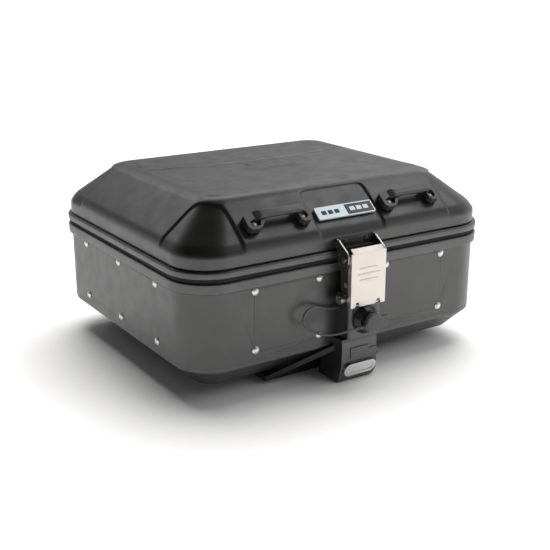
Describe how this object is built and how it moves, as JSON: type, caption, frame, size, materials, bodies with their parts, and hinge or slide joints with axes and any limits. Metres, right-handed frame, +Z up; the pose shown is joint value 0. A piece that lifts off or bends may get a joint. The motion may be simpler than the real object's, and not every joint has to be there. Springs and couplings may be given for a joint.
{
  "type": "motorcycle top case",
  "caption": "Rectangular aluminium motorcycle top case with a riveted body, rear-hinged pressed lid, strap loops, over-centre latch, key lock and carrier-plate release.",
  "frame": {"origin": "centre of the underside, on the centre rib of the underside frame", "axes": "+Z up, -Y towards the latch side, +X to the right as seen from the latch side"},
  "size_m": [0.408, 0.397, 0.2104],
  "materials": {
    "coated_aluminium": "satin black powder coat with a fine pebble",
    "moulded_black": "moulded, lightly grained",
    "seal_rubber": "extruded rubber, dull",
    "rivet_aluminium": "bare, domed",
    "frame_black": "glass-filled moulding, grained",
    "zinc_steel": "zinc plated",
    "housing_black": "moulded, fine grain",
    "lock_black": "satin moulding",
    "cap_rubber": "moulded rubber",
    "button_chrome": "polished chrome",
    "hinge_steel": "black coated steel",
    "anchor_black": "moulded, satin",
    "badge_silver": "satin silver with a blue tint",
    "badge_black": "gloss",
    "bracket_dark": "dark coated steel with bare edges",
    "cover_satin": "satin stainless, fine horizontal grain"
  },
  "bodies": {
    "case": {"base_tray": "moulded_black", "wall_band": "coated_aluminium", "body_rim": "moulded_black", "rim_seal": "seal_rubber", "wall_rivets": "rivet_aluminium", "base_frame": "frame_black", "base_screws": "zinc_steel", "latch_housing": "housing_black", "release_housing": "housing_black", "release_flap": "housing_black", "housing_screws": "zinc_steel", "lock_barrel": "lock_black", "catch_bolt": "zinc_steel", "cap_tether": "cap_rubber", "hinge_base_leaves": "hinge_steel", "hinge_pins": "zinc_steel", "hinge_base_rivets": "rivet_aluminium"},
    "lid": {"lid_rim": "moulded_black", "lid_shell": "coated_aluminium", "hinge_lid_leaves": "hinge_steel", "hinge_lid_rivets": "rivet_aluminium", "strap_anchor_front_left": "anchor_black", "strap_anchor_front_right": "anchor_black", "strap_anchor_rear_left": "anchor_black", "strap_anchor_rear_right": "anchor_black", "anchor_rivets": "rivet_aluminium", "badge_plate": "badge_silver", "badge_inlay": "badge_black", "latch_bracket": "bracket_dark", "bracket_rivets": "bracket_dark", "lever_pin": "zinc_steel"},
    "lever": {"latch_cover": "cover_satin", "lever_channel": "bracket_dark", "claw_pin": "zinc_steel"},
    "claw": {"latch_claw": "zinc_steel"},
    "key": {"key_cylinder": "zinc_steel"},
    "tongue": {"lock_tongue": "zinc_steel"},
    "cap": {"dust_cap": "cap_rubber"},
    "button": {"release_button": "button_chrome"},
    "hook": {"plate_hook": "zinc_steel"}
  },
  "joints": [
    {"name": "lid_hinge", "type": "hinge", "parent": "case", "child": "lid", "pos_m": [0, 0.182, 0.1375], "axis": [-1, 0, 0], "range_deg": [0, 95]},
    {"name": "latch_lever", "type": "hinge", "parent": "lid", "child": "lever", "pos_m": [0, -0.187, 0.141], "axis": [-1, 0, 0], "range_deg": [0, 110]},
    {"name": "claw_pivot", "type": "hinge", "parent": "lever", "child": "claw", "pos_m": [0, -0.187, 0.112], "axis": [1, 0, 0], "range_deg": [0, 15], "stiffness_Nm_per_rad": 0.02, "springref_deg": -17.19},
    {"name": "key_turn", "type": "hinge", "parent": "case", "child": "key", "pos_m": [0, -0.195, 0.071], "axis": [0, -1, 0], "range_deg": [0, 90]},
    {"name": "tongue_slide", "type": "slide", "parent": "case", "child": "tongue", "axis": [0, 0, 1], "range_m": [0, 0.005]},
    {"name": "cap_pull", "type": "slide", "parent": "case", "child": "cap", "axis": [0, -1, 0], "range_m": [0, 0.012]},
    {"name": "button_press", "type": "slide", "parent": "case", "child": "button", "axis": [0, 0.9659, 0.2588], "range_m": [0, 0.004], "stiffness_N_per_m": 300, "springref_m": -0.004},
    {"name": "hook_slide", "type": "slide", "parent": "case", "child": "hook", "axis": [0, -1, 0], "range_m": [0, 0.004]}
  ],
  "couplings": [
    {"joint": "key_turn", "follows": "tongue_slide", "rad_per_m": 314.16},
    {"joint": "hook_slide", "follows": "button_press", "ratio": 1}
  ]
}
